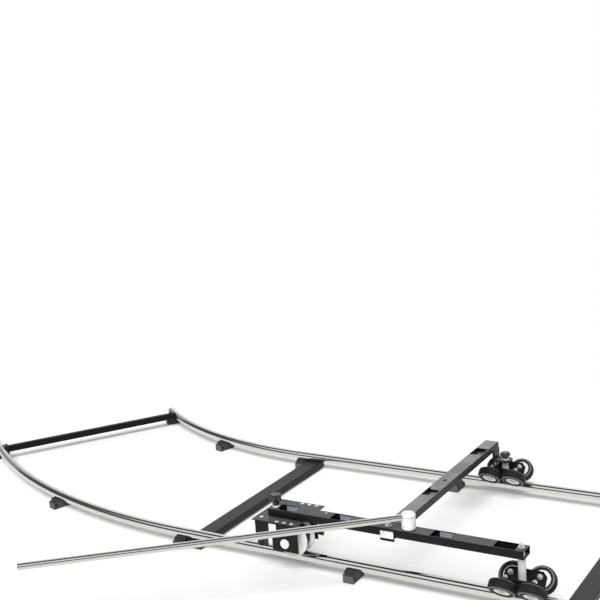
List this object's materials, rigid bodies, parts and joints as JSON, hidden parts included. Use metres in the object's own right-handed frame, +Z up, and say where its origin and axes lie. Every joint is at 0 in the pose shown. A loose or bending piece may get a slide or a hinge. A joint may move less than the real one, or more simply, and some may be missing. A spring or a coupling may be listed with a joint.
{
  "type": "dolly track",
  "caption": "Sectional tube rail track with curved and straight sections, carrying a beam-frame camera dolly on angled wheel bogies with push bar and spool drive wheel.",
  "frame": {"origin": "point on the floor under the outer rail at the joint between the curved section and the first straight section", "axes": "+X along the straight rails away from the curve, +Y from the outer rail to the inner rail, +Z up"},
  "size_m": [3.136, 1.4494, 0.1953],
  "materials": {
    "rail_steel": "polished stainless",
    "bar_steel": "polished stainless",
    "black_coat": "satin powder coat",
    "rubber": "dull",
    "wheel_tyre": "dull",
    "nylon": "matt white",
    "bolt_steel": "bright plated",
    "post_aluminium": "turned",
    "black_plastic": "matt",
    "motor_steel": "brushed"
  },
  "bodies": {
    "section_a": {"rail_outer_a": "rail_steel", "rail_inner_a": "rail_steel", "tie_a": "black_coat", "tie_bolts_a": "bolt_steel", "feet_outer_a": "rubber", "feet_inner_a": "rubber", "plugs_a": "nylon"},
    "curve": {"rail_outer_curve": "rail_steel", "rail_inner_curve": "rail_steel", "end_bar_curve": "black_coat", "end_clamps_curve": "black_coat", "feet_outer_curve": "rubber", "feet_inner_curve": "rubber", "plugs_curve": "nylon"},
    "section_b": {"rail_outer_b": "rail_steel", "rail_inner_b": "rail_steel", "tie_b": "black_coat", "tie_bolts_b": "bolt_steel", "feet_outer_b": "rubber", "feet_inner_b": "rubber", "plugs_b": "nylon", "end_bar_b": "black_coat", "end_clamps_b": "black_coat"},
    "dolly": {"crossbar": "black_coat", "arm": "black_coat", "tee_bracket": "black_coat", "tee_bolt": "bolt_steel", "far_hanger": "black_coat", "king_bolts": "bolt_steel", "posts": "post_aluminium", "knob_washers": "nylon", "swivel_washer": "black_plastic"},
    "push_bar_group": {"swivel_block": "nylon", "push_bar": "bar_steel", "block_screw": "bolt_steel"},
    "near_bogie": {"near_angle": "black_coat", "near_block": "black_coat", "near_axles": "bolt_steel"},
    "far_bogie": {"far_angle": "black_coat", "far_block": "black_coat", "far_axles": "bolt_steel"},
    "knob_left": {"star_knob_left": "black_plastic"},
    "knob_far": {"star_knob_far": "black_plastic"},
    "drive_unit": {"drive_hanger": "black_coat", "drive_cheeks": "black_coat", "axle_bushes": "nylon", "gear_motor": "motor_steel", "power_socket": "black_plastic"},
    "drive_wheel": {"drive_flanges": "nylon", "drive_band": "rubber", "drive_axle": "bolt_steel"},
    "lever": {"lift_lever": "black_plastic"},
    "near_wheel_body_1": {"near_wheel_1": "wheel_tyre"},
    "near_wheel_body_2": {"near_wheel_2": "wheel_tyre"},
    "near_wheel_body_3": {"near_wheel_3": "wheel_tyre"},
    "near_wheel_body_4": {"near_wheel_4": "wheel_tyre"},
    "far_wheel_body_1": {"far_wheel_1": "wheel_tyre"},
    "far_wheel_body_2": {"far_wheel_2": "wheel_tyre"},
    "far_wheel_body_3": {"far_wheel_3": "wheel_tyre"},
    "far_wheel_body_4": {"far_wheel_4": "wheel_tyre"}
  },
  "joints": [
    {"name": "curve_pull", "type": "slide", "parent": "section_a", "child": "curve", "axis": [-1, 0, 0], "range_m": [0, 0.06]},
    {"name": "section_b_pull", "type": "slide", "parent": "section_a", "child": "section_b", "axis": [1, 0, 0], "range_m": [0, 0.06]},
    {"name": "dolly_roll", "type": "slide", "parent": "section_a", "child": "dolly", "axis": [1, 0, 0], "range_m": [-0.25, 0.9]},
    {"name": "near_bogie_swivel", "type": "hinge", "parent": "dolly", "child": "near_bogie", "pos_m": [0.938, 0, 0.136], "axis": [0, 0, 1], "range_deg": [-0.8, 0.8]},
    {"name": "far_bogie_swivel", "type": "hinge", "parent": "dolly", "child": "far_bogie", "pos_m": [0.66, 0.62, 0.105], "axis": [0, 0, 1], "range_deg": [-0.8, 0.8]},
    {"name": "drive_swivel", "type": "hinge", "parent": "dolly", "child": "drive_unit", "pos_m": [0.298, 0, 0.136], "axis": [0, 0, 1], "range_deg": [-2, 2]},
    {"name": "drive_wheel_spin", "type": "hinge", "parent": "drive_unit", "child": "drive_wheel", "pos_m": [0.348, 0, 0.0842], "axis": [0, 1, 0], "continuous": true},
    {"name": "lever_lift", "type": "hinge", "parent": "drive_unit", "child": "lever", "pos_m": [0.379, 0.047, 0.0832], "axis": [0, -1, 0], "range_deg": [0, 40]},
    {"name": "push_bar_swing", "type": "hinge", "parent": "dolly", "child": "push_bar_group", "pos_m": [0.665, 0, 0.156], "axis": [0, 0, 1], "range_deg": [-28, 110]},
    {"name": "knob_left_turn", "type": "hinge", "parent": "dolly", "child": "knob_left", "pos_m": [0.298, 0, 0.156], "axis": [0, 0, 1], "range_deg": [0, 720]},
    {"name": "knob_far_turn", "type": "hinge", "parent": "dolly", "child": "knob_far", "pos_m": [0.66, 0.62, 0.11], "axis": [0, 0, 1], "range_deg": [0, 720]},
    {"name": "near_wheel_1_spin", "type": "hinge", "parent": "near_bogie", "child": "near_wheel_body_1", "pos_m": [0.904, -0.03267, 0.06967], "axis": [0, 0.7071, 0.7071], "continuous": true},
    {"name": "near_wheel_2_spin", "type": "hinge", "parent": "near_bogie", "child": "near_wheel_body_2", "pos_m": [0.972, -0.03267, 0.06967], "axis": [0, 0.7071, 0.7071], "continuous": true},
    {"name": "near_wheel_3_spin", "type": "hinge", "parent": "near_bogie", "child": "near_wheel_body_3", "pos_m": [0.904, 0.03267, 0.06967], "axis": [0, 0.7071, -0.7071], "continuous": true},
    {"name": "near_wheel_4_spin", "type": "hinge", "parent": "near_bogie", "child": "near_wheel_body_4", "pos_m": [0.972, 0.03267, 0.06967], "axis": [0, 0.7071, -0.7071], "continuous": true},
    {"name": "far_wheel_1_spin", "type": "hinge", "parent": "far_bogie", "child": "far_wheel_body_1", "pos_m": [0.626, 0.58733, 0.06967], "axis": [0, 0.7071, 0.7071], "continuous": true},
    {"name": "far_wheel_2_spin", "type": "hinge", "parent": "far_bogie", "child": "far_wheel_body_2", "pos_m": [0.694, 0.58733, 0.06967], "axis": [0, 0.7071, 0.7071], "continuous": true},
    {"name": "far_wheel_3_spin", "type": "hinge", "parent": "far_bogie", "child": "far_wheel_body_3", "pos_m": [0.626, 0.65267, 0.06967], "axis": [0, 0.7071, -0.7071], "continuous": true},
    {"name": "far_wheel_4_spin", "type": "hinge", "parent": "far_bogie", "child": "far_wheel_body_4", "pos_m": [0.694, 0.65267, 0.06967], "axis": [0, 0.7071, -0.7071], "continuous": true}
  ],
  "couplings": [
    {"joint": "near_wheel_1_spin", "follows": "dolly_roll", "rad_per_m": 30.303},
    {"joint": "near_wheel_2_spin", "follows": "dolly_roll", "rad_per_m": 30.303},
    {"joint": "near_wheel_3_spin", "follows": "dolly_roll", "rad_per_m": 30.303},
    {"joint": "near_wheel_4_spin", "follows": "dolly_roll", "rad_per_m": 30.303},
    {"joint": "far_wheel_1_spin", "follows": "dolly_roll", "rad_per_m": 30.303},
    {"joint": "far_wheel_2_spin", "follows": "dolly_roll", "rad_per_m": 30.303},
    {"joint": "far_wheel_3_spin", "follows": "dolly_roll", "rad_per_m": 30.303},
    {"joint": "far_wheel_4_spin", "follows": "dolly_roll", "rad_per_m": 30.303},
    {"joint": "drive_wheel_spin", "follows": "dolly_roll", "rad_per_m": 29.412}
  ]
}
